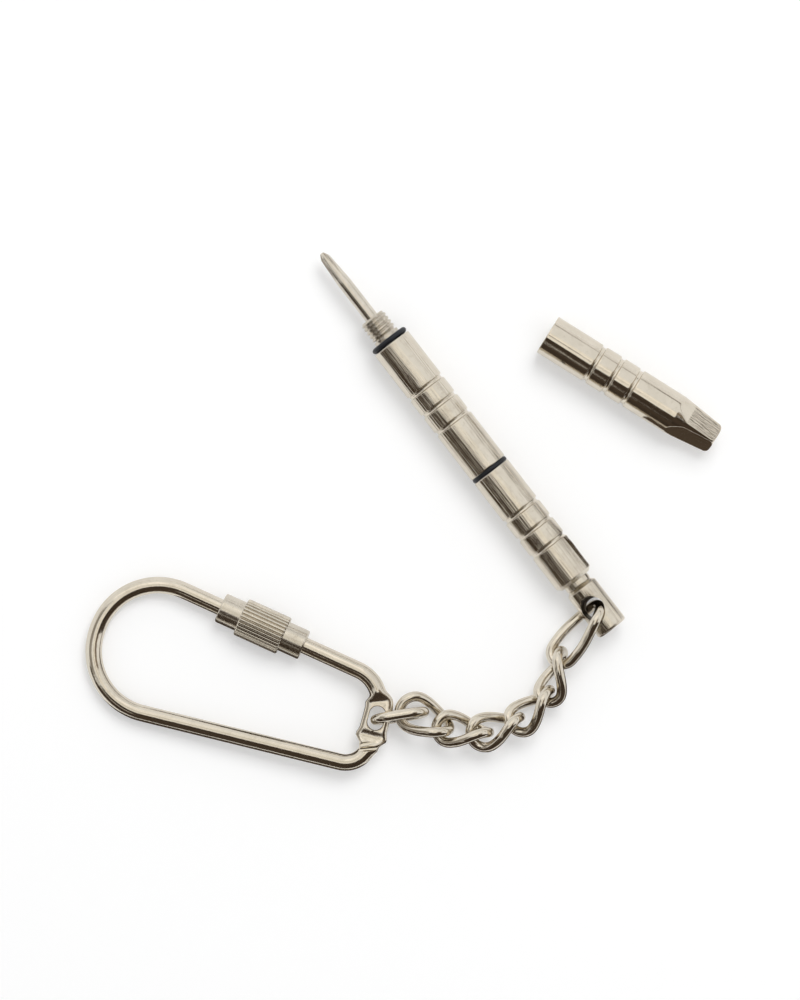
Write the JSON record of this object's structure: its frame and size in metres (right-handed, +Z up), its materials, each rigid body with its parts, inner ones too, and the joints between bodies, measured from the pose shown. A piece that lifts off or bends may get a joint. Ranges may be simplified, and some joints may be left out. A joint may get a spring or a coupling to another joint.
{
  "type": "pocket screwdriver",
  "caption": "Pocket screwdriver on a chain: barrel with a bit at each end under screw-on caps, swivel tail, curb chain and a key ring locked by a sliding knurled sleeve.",
  "frame": {"origin": "on the barrel's axis, at the rear end of the front nose's thread", "axes": "+X along the barrel towards the cross-head bit, +Z up from the table that the part lies on, +Y towards the chain and key ring"},
  "size_m": [0.091, 0.1173, 0.0092],
  "materials": {
    "polished_nickel": "polished nickel plating",
    "satin_nickel": "satin nickel plating",
    "bit_steel": "ground steel",
    "seal_rubber": "matt moulded rubber"
  },
  "bodies": {
    "driver": {"centre_barrel": "polished_nickel", "front_nose": "satin_nickel", "rear_nose": "satin_nickel", "cross_bit": "bit_steel", "flat_bit": "bit_steel", "front_seal": "seal_rubber", "middle_seal": "seal_rubber"},
    "rear_cap": {"rear_cap": "polished_nickel"},
    "tail": {"swivel_tail": "polished_nickel", "swivel_rivet": "satin_nickel"},
    "link_1": {"chain_link_1": "polished_nickel"},
    "link_2": {"chain_link_2": "polished_nickel"},
    "link_3": {"chain_link_3": "polished_nickel"},
    "link_4": {"chain_link_4": "polished_nickel"},
    "link_5": {"chain_link_5": "polished_nickel"},
    "link_6": {"chain_link_6": "polished_nickel"},
    "link_7": {"chain_link_7": "polished_nickel"},
    "ring": {"key_ring": "polished_nickel"},
    "sleeve": {"lock_sleeve": "satin_nickel"},
    "front_cap": {"front_cap": "polished_nickel"}
  },
  "joints": [
    {"name": "rear_cap_unscrew", "type": "slide", "parent": "driver", "child": "rear_cap", "axis": [-1, 0, 0], "range_m": [0, 0.022]},
    {"name": "tail_swivel", "type": "hinge", "parent": "rear_cap", "child": "tail", "pos_m": [-0.05675, 0, 0], "axis": [1, 0, 0], "continuous": true},
    {"name": "chain_joint_1", "type": "hinge", "parent": "tail", "child": "link_1", "pos_m": [-0.06168, -0.00059, 0.00058], "axis": [0, 0, 1], "range_deg": [-9, 4]},
    {"name": "chain_joint_2", "type": "hinge", "parent": "link_1", "child": "link_2", "pos_m": [-0.06412, 0.00961, -0.0006], "axis": [0, 0, -1], "range_deg": [-5, 24]},
    {"name": "chain_joint_3", "type": "hinge", "parent": "link_2", "child": "link_3", "pos_m": [-0.06837, 0.01552, -0.00016], "axis": [0, 0, 1], "range_deg": [-10, 28]},
    {"name": "chain_joint_4", "type": "hinge", "parent": "link_3", "child": "link_4", "pos_m": [-0.06895, 0.0227, -0.00013], "axis": [0, 0, -1], "range_deg": [-28, 10]},
    {"name": "chain_joint_5", "type": "hinge", "parent": "link_4", "child": "link_5", "pos_m": [-0.06771, 0.02877, -0.00025], "axis": [0, 0, 1], "range_deg": [-20, 28]},
    {"name": "chain_joint_6", "type": "hinge", "parent": "link_5", "child": "link_6", "pos_m": [-0.0628, 0.03403, -0.00004], "axis": [0, 0, -1], "range_deg": [-28, 5]},
    {"name": "chain_joint_7", "type": "hinge", "parent": "link_6", "child": "link_7", "pos_m": [-0.05773, 0.03575, -0.00041], "axis": [0, 0, 1], "range_deg": [-28, 15]},
    {"name": "ring_swing", "type": "hinge", "parent": "link_7", "child": "ring", "pos_m": [-0.05345, 0.04356, -0.00041], "axis": [0, 0, -1], "range_deg": [-24, 1]},
    {"name": "sleeve_slide", "type": "slide", "parent": "ring", "child": "sleeve", "axis": [-0.8841, -0.4661, 0.0346], "range_m": [0, 0.0095]},
    {"name": "front_cap_roll", "type": "hinge", "parent": "driver", "child": "front_cap", "pos_m": [-0.0179, -0.023, 0], "axis": [0.9397, 0.342, 0], "continuous": true}
  ]
}
